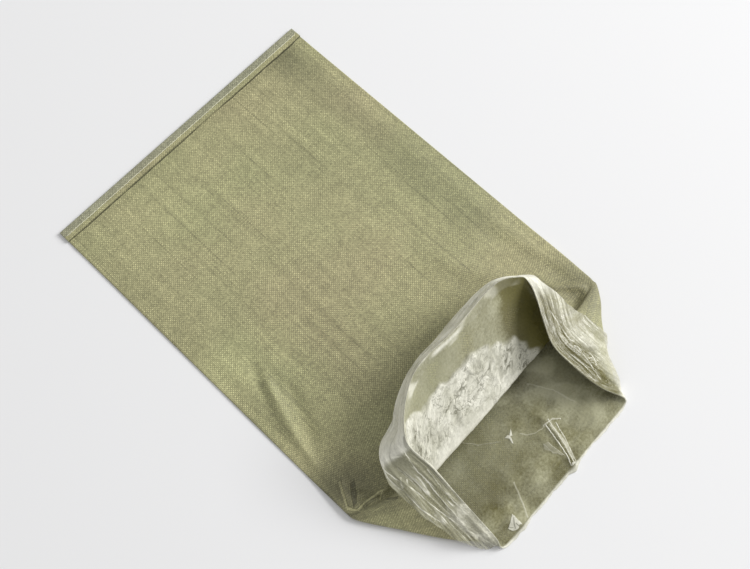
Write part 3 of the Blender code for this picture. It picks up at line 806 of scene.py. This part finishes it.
    # A lighter, more opaque patch at the top of the left cuff: painted light over cloth that lies in shade
    lit_facet = smooth((0.705 - g[:1]) / 0.01)
    cover_cuff = np.maximum(cover_cuff + left_cuff * (0.10 + 0.12 * lit_facet), 0.88 * back_left)
    cover_cuff = cover_cuff + 0.06 * np.concatenate(cuff_height) ** 2
    cover_over = np.repeat(0.70 + 0.20 * front[None] - 0.10 * right_cuff, over_count, axis=0)
    cover = np.concatenate([cover_in, cover_over, cover_cuff])
    pale_cuff = 0.85 + 0.15 * back - 0.42 * right_cuff - 0.43 * inner_band_shade
    pale_cuff = pale_cuff - 0.62 * left_cuff * (1 - 0.8 * left_tip)
    pale_cuff = np.maximum(pale_cuff, back_left)
    pale_in = np.maximum(patch, 0.12 * upper_wall * (1 - far_corner_shade))
    pale_in = np.maximum(pale_in, np.maximum(0.20 * rim_band + 0.45 * bits, streak))
    pale_over = np.repeat(0.75 + 0.25 * front[None] - 0.40 * right_cuff, over_count, axis=0)
    put_values(thing, "pale", np.concatenate([pale_in, pale_over, pale_cuff]))
    # Painted shade darkens the far corner of the back wall, and painted light and shade change the listed
    # places of the mouth's floor
    light_in = (0.75 + 0.45 * mottled) * upper_wall - 0.35 * rim_band - 3.0 * far_corner_shade + 0.4 * roll
    for spot_y, spot_x, reach, change in FLOOR_PAINTED_LIGHT_AND_SHADE:
        light_in += panel * change * bump_at(np.hypot(y - spot_y, x - spot_x), 0, reach)
    # Painted shade on the right cuff's inner band, and painted light on the top patch of the left cuff, the
    # back of the cuff, its back-left band and top corner, which face away from the key lamp
    light_cuff = 0.05 * right_cuff * outer_part - 0.60 * inner_band_shade
    light_cuff = light_cuff + 0.4 * left_cuff * lit_facet * outer_part + 0.35 * back
    light_cuff = light_cuff + left_cuff * (0.60 - 0.75 * left_tip)
    light_cuff = light_cuff + 0.9 * back_left * smooth((g[:1] - 0.57) / 0.05) + 0.35 * top_corner
    light_over = np.repeat(light_cuff[:1], over_count, axis=0)
    put_values(thing, "light", np.concatenate([light_in, light_over, light_cuff]))
    streaked = 0.05 + 0.55 * right_cuff + left_cuff * smooth((g[:1] - 0.66) / 0.06)
    streaked = streaked * (1 - 0.85 * left_tip)
    streaked_over = np.repeat(streaked[:1], over_count, axis=0)
    put_values(thing, "streaked", np.concatenate([np.zeros(g.shape), streaked_over, streaked]))
    put_values(thing, "crumple", crumple)
    put_values(thing, "cover", np.clip(cover, 0, 0.95))
    return thing


class Nodes:
    """Short calls that add and join the nodes of one material."""

    def __init__(self, name):
        self.material = bpy.data.materials.new(name)
        self.material.use_nodes = True
        self.tree = self.material.node_tree
        self.shader = self.tree.nodes["Principled BSDF"]

    def feed(self, socket, value):
        if isinstance(value, bpy.types.NodeSocket):
            self.tree.links.new(value, socket)
        else:
            socket.default_value = value

    def math(self, operation, a, b=0.0, clamp=False):
        node = self.tree.nodes.new("ShaderNodeMath")
        node.operation = operation
        node.use_clamp = clamp
        self.feed(node.inputs[0], a)
        self.feed(node.inputs[1], b)
        return node.outputs[0]

    def times(self, a, b):
        return self.math("MULTIPLY", a, b)

    def plus(self, a, b, clamp=False):
        return self.math("ADD", a, b, clamp)

    def minus(self, a, b):
        return self.math("SUBTRACT", a, b)

    def most(self, a, b):
        return self.math("MAXIMUM", a, b)

    def fit(self, value, from_low, from_high, to_low, to_high):
        node = self.tree.nodes.new("ShaderNodeMapRange")
        node.inputs["From Min"].default_value = from_low
        node.inputs["From Max"].default_value = from_high
        node.inputs["To Min"].default_value = to_low
        node.inputs["To Max"].default_value = to_high
        self.feed(node.inputs["Value"], value)
        return node.outputs["Result"]

    def vector(self, x, y, z=0.0):
        node = self.tree.nodes.new("ShaderNodeCombineXYZ")
        for socket, value in zip(node.inputs, (x, y, z)):
            self.feed(socket, value)
        return node.outputs[0]

    def noise(self, vector, scale, detail=2.0, roughness=0.5):
        node = self.tree.nodes.new("ShaderNodeTexNoise")
        self.feed(node.inputs["Vector"], vector)
        node.inputs["Scale"].default_value = scale
        node.inputs["Detail"].default_value = detail
        node.inputs["Roughness"].default_value = roughness
        return node.outputs["Fac"]

    def mix(self, share, a, b):
        node = self.tree.nodes.new("ShaderNodeMix")
        node.data_type = "RGBA"
        self.feed(node.inputs["Factor"], share)
        self.feed(node.inputs["A"], a)
        self.feed(node.inputs["B"], b)
        return node.outputs["Result"]

    def uv(self):
        node = self.tree.nodes.new("ShaderNodeUVMap")
        node.uv_map = "flat_metres"
        split = self.tree.nodes.new("ShaderNodeSeparateXYZ")
        self.tree.links.new(node.outputs["UV"], split.inputs[0])
        return split.outputs["X"], split.outputs["Y"]

    def point_value(self, name):
        node = self.tree.nodes.new("ShaderNodeAttribute")
        node.attribute_name = name
        return node.outputs["Fac"]

    def offset(self, place, direction, start, unit=1.0):
        """How far a place, a vector with 1 as its third number, lies from start along a direction."""
        direction = Vector(direction) / unit
        return self.between("DOT_PRODUCT", place, (*direction, -direction.dot(Vector(start))))

    def line_set(self, place, lines):
        """The strength of the line that a place is on, each through points of the UV map."""
        best = 0.0
        for points, half_width, strength in lines:
            away = 1000.0
            for start, end in zip(points, points[1:]):
                run = Vector(end) - Vector(start)
                across = run.orthogonal().normalized()
                aside = self.math("ABSOLUTE", self.offset(place, across, start, half_width))
                middle = (Vector(start) + Vector(end)) / 2
                along = self.math("ABSOLUTE", self.offset(place, run.normalized(), middle, half_width))
                beyond = self.minus(along, run.length / 2 / half_width)
                away = self.math("MINIMUM", away, self.most(aside, beyond))
            soft = min(0.6, 0.0006 / half_width)
            best = self.most(best, self.fit(away, 1 - soft, 1 + soft, strength, 0.0))
        return best

    def tab_set(self, place, tabs):
        """The strength of the tab that a place is on, each an outward-bulging shape through its corners."""
        best = 0.0
        for corners, strength in tabs:
            middle = sum((Vector(c) for c in corners), Vector((0, 0))) / len(corners)
            depth = 1.0
            for start, end in zip(corners, corners[1:] + corners[:1]):
                inward = (Vector(end) - Vector(start)).orthogonal().normalized()
                inward *= math.copysign(1, inward.dot(middle - Vector(start)))
                depth = self.math("MINIMUM", depth, self.offset(place, inward, start))
            best = self.most(best, self.fit(depth, -0.0003, 0.0004, 0.0, strength))
        return best

    def between(self, operation, a, b):
        node = self.tree.nodes.new("ShaderNodeVectorMath")
        node.operation = operation
        self.feed(node.inputs[0], a)
        self.feed(node.inputs[1], b)
        return node.outputs["Value" if operation in ("DOT_PRODUCT", "DISTANCE") else "Vector"]

    def bump(self, height, distance, strength=1.0):
        node = self.tree.nodes.new("ShaderNodeBump")
        node.inputs["Strength"].default_value = strength
        node.inputs["Distance"].default_value = distance
        self.feed(node.inputs["Height"], height)
        self.tree.links.new(node.outputs["Normal"], self.shader.inputs["Normal"])


def cloth_material():
    """Plain weave of flat plastic tapes, each with its own tone along its length."""
    n = Nodes("woven_polypropylene")
    tape = 0.0021
    u, v = n.uv()
    across, along = n.math("DIVIDE", u, tape), n.math("DIVIDE", v, tape)
    tape_u, tape_v = n.math("FLOOR", across), n.math("FLOOR", along)
    part_u, part_v = n.math("FRACT", across), n.math("FRACT", along)
    crown_u = n.math("PINGPONG", n.times(part_u, 2.0), 1.0)
    crown_v = n.math("PINGPONG", n.times(part_v, 2.0), 1.0)
    turn = n.math("FRACT", n.times(n.plus(tape_u, tape_v), 0.5))
    long_over = n.math("GREATER_THAN", turn, 0.25)
    short_over = n.minus(1.0, long_over)

    streak = n.noise(n.vector(n.times(tape_u, 0.73), n.times(v, 3.5)), 1.0, 1.0)
    band = n.noise(n.vector(n.times(u, 70.0), n.times(v, 3.0)), 1.0, 2.0)
    weft_tone = n.noise(n.vector(n.times(tape_v, 0.67), n.times(u, 9.0)), 1.0, 1.0)
    cloud = n.noise(n.vector(u, v), 7.0, 3.0)
    tone = n.plus(n.fit(streak, 0.25, 0.75, -0.28, 0.28), n.fit(band, 0.25, 0.75, -0.10, 0.10))
    tone = n.plus(tone, n.fit(streak, 0.27, 0.35, -0.22, 0.0))
    blotch = n.noise(n.vector(u, v, 3.0), 42.0, 3.0, 0.6)
    weft = n.fit(weft_tone, 0.25, 0.75, -0.10, 0.10)
    tone_long = n.times(n.plus(tone, 1.30), long_over)
    tone_short = n.times(n.plus(weft, 0.86), short_over)
    tone_all = n.plus(tone_long, tone_short)
    clouds = n.times(n.fit(cloud, 0.3, 0.7, 0.94, 1.06), n.fit(blotch, 0.3, 0.7, 0.92, 1.08))
    tone_all = n.times(tone_all, clouds)
    gaps = n.times(n.fit(crown_u, 0.0, 0.35, 0.72, 1.0), n.fit(crown_v, 0.0, 0.35, 0.78, 1.0))
    crossing = n.tree.nodes.new("ShaderNodeTexWhiteNoise")
    crossing.noise_dimensions = "2D"
    n.feed(crossing.inputs["Vector"], n.vector(tape_u, tape_v))
    gaps = n.times(gaps, n.fit(crossing.outputs["Value"], 0.0, 1.0, 0.79, 1.21))
    tone_all = n.times(tone_all, gaps)
    # Painted shade inside the mouth, then painted light and shade on the lying cloth
    tone_all = n.times(tone_all, n.fit(n.point_value("inside"), 0.0, 1.5, 1.0, 0.55))
    tone_all = n.times(tone_all, n.point_value("tone"))

    # Painted shadow along the folded end's cut edge and in the slit under it, and the greyer band outside the
    # seam
    cut_edge_shadow = n.fit(v, 0.0002, 0.0012, 0.35, 0.0)
    shadow_beside_edge = n.fit(n.math("ABSOLUTE", n.minus(v, 0.0404)), 0.0004, 0.0013, 0.80, 0.0)
    shadow_beside_edge = n.times(shadow_beside_edge, n.math("GREATER_THAN", n.math("PINGPONG", u, 0.5), 0.25))
    band_end = n.times(n.fit(v, 0.0085, 0.0100, 0.0, 1.0), n.fit(v, 0.0200, 0.0240, 1.0, 0.0))
    tone_all = n.times(tone_all, n.minus(1.0, n.most(cut_edge_shadow, shadow_beside_edge)))
    tone_all = n.times(tone_all, n.minus(1.0, n.times(band_end, 0.12)))
    place = n.vector(u, v, 1.0)
    # Painted highlight on the wrinkles' crests and painted shade beside them; both also feed the bump
    crest_light_and_bump = n.line_set(place, CLOTH_LIT_CRESTS)
    beside_shade_and_bump = n.line_set(place, CLOTH_SHADED_GAPS)
    tone_all = n.times(tone_all, n.plus(1.0, n.times(crest_light_and_bump, 0.75)))
    tone_all = n.times(tone_all, n.minus(1.0, n.times(beside_shade_and_bump, 0.55)))

    warm = n.noise(n.vector(u, v), 4.0, 2.0)
    hue = n.mix(n.fit(warm, 0.35, 0.65, 0.0, 1.0), (0.352, 0.348, 0.180, 1), (0.392, 0.362, 0.198, 1))
    hue = n.mix(n.times(band_end, 0.7), hue, (0.350, 0.352, 0.255, 1))
    scale = n.tree.nodes.new("ShaderNodeVectorMath")
    scale.operation = "SCALE"
    n.feed(scale.inputs[0], hue)
    n.feed(scale.inputs["Scale"], tone_all)
    n.feed(n.shader.inputs["Base Color"], scale.outputs[0])
    n.feed(n.shader.inputs["Roughness"], n.fit(streak, 0.3, 0.7, 0.42, 0.58))
    n.shader.inputs["Specular IOR Level"].default_value = 0.4
    n.shader.inputs["Sheen Weight"].default_value = 0.05
    over_u = n.times(n.times(crown_u, long_over), n.fit(crown_v, 0.0, 1.0, 0.5, 1.0))
    over_v = n.times(n.times(crown_v, short_over), n.fit(crown_u, 0.0, 1.0, 0.5, 1.0))
    folds = n.times(n.minus(crest_light_and_bump, beside_shade_and_bump), 4.0)
    n.bump(n.plus(n.plus(over_u, over_v), folds), 0.00035, 0.9)
    return n.material


class Film(Nodes):
    """Thin clear film, whiter and less see-through where it is crumpled."""

    def __init__(self, name, across_floor=False):
        super().__init__(name)
        self.u, self.v = self.uv()
        if across_floor:
            self.u = self.minus(self.u, self.math("ROUND", self.u))
        self.place = self.vector(self.u, self.v)
        self.crumple, self.cover = self.point_value("crumple"), self.point_value("cover")
        self.flow = self.noise(self.place, 30.0, 2.0, 0.5)
        self.speck = self.noise(self.place, 260.0, 3.0, 0.7)
        drift = self.minus(self.noise(self.place, 130.0, 2.0), 0.5)
        self.wander = self.times(drift, 0.0035)

    def crumpled(self):
        """Lines from 0 to 1 along fine creases, the height of the folds between them, and slow shine."""
        warp = self.times(self.minus(self.noise(self.place, 75.0, 2.0), 0.5), 0.022)
        bent = self.vector(self.times(self.plus(self.u, warp), 0.7), self.minus(self.v, warp))
        creased, lines = 0.0, 0.0
        sizes = ((38.0, 1.3, 1.0, 0.14), (85.0, 5.1, 0.9, 0.10), (160.0, 7.9, 0.8, 0.05))
        for scale, seed, share, deep in sizes:
            waves = self.noise(self.between("ADD", bent, (0.0, 0.0, seed)), scale, 2.0, 0.5)
            fold = self.math("ABSOLUTE", self.minus(waves, 0.5))
            lines = self.most(lines, self.fit(fold, 0.004, 0.024, share, 0.0))
            creased = self.plus(creased, self.times(fold, deep / scale))
        patches = self.fit(self.noise(self.vector(self.u, self.v, 4.4), 50.0, 2.0), 0.42, 0.58, 0.30, 1.0)
        shine = self.noise(self.between("ADD", bent, (0.0, 0.0, 6.6)), 48.0, 2.0)
        return self.times(lines, patches), creased, self.fit(shine, 0.38, 0.62, 0.0, 1.0)

    def finish(self, cover, white, shine, dark, dark_share, height):
        """Joins the film's values to its shader."""
        alpha = self.plus(cover, self.fit(self.flow, 0.3, 0.7, -0.06, 0.06))
        alpha = self.plus(alpha, self.fit(self.speck, 0.3, 0.7, -0.12, 0.12), clamp=True)
        self.feed(self.shader.inputs["Alpha"], alpha)
        cloud = self.noise(self.vector(self.u, self.v, 2.2), 22.0, 3.0, 0.55)
        light = self.point_value("light")
        grain = self.fit(self.speck, 0.3, 0.7, -0.22, 0.22)
        cloud = self.plus(self.plus(self.fit(cloud, 0.36, 0.66, 0.15, 0.85), light), grain, clamp=True)
        shine = self.plus(shine, light, clamp=True)
        thin = self.mix(cloud, (0.142, 0.128, 0.034, 1), (0.430, 0.420, 0.270, 1))
        milky = self.mix(shine, (0.62, 0.61, 0.50, 1), (0.87, 0.855, 0.735, 1))
        # The dark colour is painted shade of creases and fold lines
        tint = self.mix(self.times(dark, dark_share), self.mix(white, thin, milky), (0.12, 0.115, 0.07, 1))
        self.feed(self.shader.inputs["Base Color"], tint)
        self.feed(self.shader.inputs["Roughness"], self.fit(self.flow, 0.3, 0.7, 0.24, 0.38))
        self.shader.inputs["Specular IOR Level"].default_value = 0.45
        self.bump(self.plus(height, self.times(self.speck, 0.0004)), 1.0, 1.0)
        return self.material


def film_material():
    """The film inside the sack."""
    n = Film("polyethylene_film")
    lines, creased, shine = n.crumpled()
    # Fine crease lines darken the crumpled film as painted shade in the creases
    dark = n.times(lines, n.crumple)
    height = n.times(creased, n.crumple)
    cover = n.plus(n.cover, n.times(dark, 0.12))
    return n.finish(cover, n.point_value("pale"), shine, dark, 0.85, height)


def floor_film_material():
    """The film on the mouth's floor, with single fold lines, small crumpled tabs and painted glints."""
    n = Film("polyethylene_film_floor", across_floor=True)
    place = n.vector(n.plus(n.u, n.wander), n.minus(n.v, n.wander), 1.0)
    # Fold lines and tabs whiten the film, partly as painted highlight, and some tabs are painted glints
    lines = n.line_set(place, on_mouth_floor(SEEN_FILM_LINES) + FILM_LINES)
    single = n.most(lines, n.tab_set(place, on_mouth_floor(SEEN_FILM_TABS_AND_GLINTS)))
    grain = n.fit(n.speck, 0.40, 0.60, 0.0, 1.0)
    dark = n.times(n.times(grain, single), 0.3)
    # Dark lines are painted shade in and beside the creases
    dark_lines = on_mouth_floor(SEEN_FILM_SHADED_CREASES) + FILM_SHADED_CREASE
    dark = n.most(dark, n.line_set(place, dark_lines))
    cover = n.plus(n.cover, n.times(single, 0.75))
    white = n.most(n.point_value("pale"), single)
    return n.finish(cover, white, 0.6, dark, 0.85, n.times(single, 0.0006))


def cuff_material():
    """The film turned out over the rim, with long fold lines round the mouth."""
    n = Film("polyethylene_film_cuff")
    lines, creased, shine = n.crumpled()
    streaked = n.point_value("streaked")
    bright, dark, height = 0.0, 0.0, 0.0
    # Bright lines along the folds are partly whitened film and partly painted highlight; the dark lines just
    # beside them are painted shade
    sizes = ((5.0, 60.0, 0.0, 1.0), (9.0, 130.0, 3.7, 0.8), (14.0, 260.0, 6.1, 0.5))
    for across, along, seed, share in sizes:
        place = n.vector(n.times(n.u, across), n.times(n.v, along), seed)
        folds = n.noise(place, 1.0, 2.0, 0.35)
        line = n.fit(n.math("ABSOLUTE", n.minus(folds, 0.5)), 0.004, 0.030, share, 0.0)
        bright = n.most(bright, line)
        shade = n.fit(n.math("ABSOLUTE", n.minus(folds, 0.56)), 0.0, 0.03, share, 0.0)
        dark = n.most(dark, shade)
        height = n.plus(height, n.times(n.minus(folds, 0.5), 0.5 / along))
    fade = n.noise(n.vector(n.times(n.u, 26.0), n.times(n.v, 70.0), 9.0), 1.0, 2.0)
    bright = n.times(n.times(bright, n.fit(fade, 0.40, 0.60, 0.0, 1.0)), streaked)
    dark = n.times(n.times(dark, n.fit(fade, 0.40, 0.60, 1.0, 0.0)), streaked)
    height = n.plus(n.times(height, streaked), n.times(creased, n.crumple))
    place = n.vector(n.plus(n.u, n.wander), n.minus(n.v, n.wander), 1.0)
    # Listed fold lines are whitened, partly as painted highlight, and the listed dark folds are painted shade
    single = n.times(n.line_set(place, CUFF_LINES), n.fit(fade, 0.36, 0.52, 0.3, 1.0))
    folds_painted_shade = n.line_set(place, CUFF_SHADED_FOLDS)
    crinkle = n.times(lines, n.crumple)
    # Crinkles get painted glints where the shine is high and painted shade elsewhere
    glint = n.fit(shine, 0.30, 0.80, 0.0, 0.8)
    bright = n.most(bright, n.most(single, n.times(crinkle, glint)))
    dark = n.most(dark, n.times(crinkle, n.minus(0.9, glint)))
    cover = n.plus(n.cover, n.times(bright, 0.60))
    cover = n.plus(cover, n.times(folds_painted_shade, 0.30))
    white = n.most(n.point_value("pale"), bright)
    return n.finish(cover, white, shine, n.most(dark, folds_painted_shade), 0.65, height)


def thread_material():
    n = Nodes("sewing_thread")
    u, v = n.uv()
    twist = n.noise(n.vector(n.times(u, 900.0), n.times(v, 300.0)), 1.0, 1.0)
    colour = n.mix(twist, (0.66, 0.65, 0.50, 1), (0.86, 0.85, 0.70, 1))
    n.feed(n.shader.inputs["Base Color"], colour)
    n.shader.inputs["Roughness"].default_value = 0.8
    n.bump(twist, 0.0002)
    return n.material


def make_thread(material):
    """Upper and lower runs of thread, dipping through the cloth at each stitch."""
    top = HEM_BOTTOM + 2 * CLOTH_INSET + 2 * HEM_LAYER + HEM_GAP
    reach = HALF_WIDTH - 0.005
    y = np.linspace(-reach, reach, 900)
    phase = np.mod(y, STITCH) / STITCH
    arch = np.sin(np.pi * phase) ** 0.5
    runs = []
    for base, sign in ((top, 1.0), (HEM_BOTTOM - THREAD_RADIUS, -0.35)):
        height = base + sign * (arch - 0.45) * 0.0006
        aside = THREAD_X + 0.0003 * noise(y, 0.0, 0.03, 1.0, 41)
        aside = aside + 0.0002 * np.where(phase < 0.5, 1, -1) * arch
        runs.append(np.stack([aside, y, np.maximum(height, THREAD_RADIUS)], axis=-1))
    sides = 6
    around = np.arange(sides) * 2 * math.pi / sides
    ring = np.stack([np.cos(around), np.zeros(sides), np.sin(around)], axis=-1) * THREAD_RADIUS
    points, faces, uvs = [], [], []
    for run in runs:
        first = len(points)
        for p in run:
            points.extend((p + ring + [CENTRE_X, 0, 0]).tolist())
        for i in range(len(run) - 1):
            for j in range(sides):
                k = (j + 1) % sides
                a, b = first + i * sides, first + (i + 1) * sides
                faces.append((a + j, a + k, b + k, b + j))
                v0, v1 = run[i][1] + HALF_WIDTH, run[i + 1][1] + HALF_WIDTH
                u0, u1 = j * 0.0005, (j + 1) * 0.0005
                uvs.extend([(u0, v0), (u1, v0), (u1, v1), (u0, v1)])
    mesh = bpy.data.meshes.new("stitches")
    mesh.from_pydata(points, [], faces)
    mesh.uv_layers.new(name="flat_metres").data.foreach_set("uv", np.array(uvs, np.float32).ravel())
    mesh.polygons.foreach_set("use_smooth", np.ones(len(mesh.polygons), bool))
    mesh.materials.append(material)
    return add_thing("stitches", mesh)


def add_floor():
    mesh = bpy.data.meshes.new("floor")
    half, low = 4.0, -0.0001
    corners = [(-half, -half, low), (half, -half, low), (half, half, low), (-half, half, low)]
    mesh.from_pydata(corners, [], [(0, 1, 2, 3)])
    n = Nodes("studio_floor")
    n.shader.inputs["Base Color"].default_value = (0.83, 0.83, 0.835, 1)
    n.shader.inputs["Roughness"].default_value = 0.9
    mesh.materials.append(n.material)
    add_thing("floor", mesh)


def add_light(name, place, size, power, aim=(0.0, 0.0, 0.0)):
    lamp = bpy.data.lights.new(name, "AREA")
    lamp.shape = "SQUARE"
    lamp.size = size
    lamp.energy = power
    thing = add_thing(name, lamp)
    thing.location = place
    thing.rotation_euler = (Vector(aim) - Vector(place)).to_track_quat("-Z", "Y").to_euler()


def add_studio():
    add_light("key", (3.3, 7.1, 4.5), 4.2, 880)
    add_light("top", (-1.2, 0.4, 5.8), 3.0, 45)
    world = bpy.data.worlds.new("studio")
    world.use_nodes = True
    world.node_tree.nodes["Background"].inputs["Color"].default_value = (1, 1, 1, 1)
    world.node_tree.nodes["Background"].inputs["Strength"].default_value = 0.40
    bpy.context.scene.world = world
    bpy.context.scene.view_settings.view_transform = "Standard"


def add_camera():
    """The photograph's view: nearly from above, with the sack's length running down to the right."""
    right, up, ahead = camera_axes()
    data = bpy.data.cameras.new("camera")
    data.sensor_fit = "HORIZONTAL"
    data.sensor_width = SENSOR_WIDTH
    data.lens = LENS
    camera = add_thing("camera", data)
    turn = Matrix((right, up, -ahead)).transposed().to_4x4()
    camera.matrix_world = Matrix.Translation(CAMERA_PLACE) @ turn
    bpy.context.scene.camera = camera


cloth = make_cloth(cloth_material())
film = make_film((film_material(), cuff_material(), floor_film_material()))
stitches = make_thread(thread_material())
for piece, node, slot in (
    (cloth, "woven_sack", "woven_polypropylene"),
    (film, "film_liner", "polyethylene_film"),
    (stitches, "hem_thread", "sewing_thread"),
):
    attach(piece, "root")
    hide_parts(node)

add_floor()
add_studio()
add_camera()
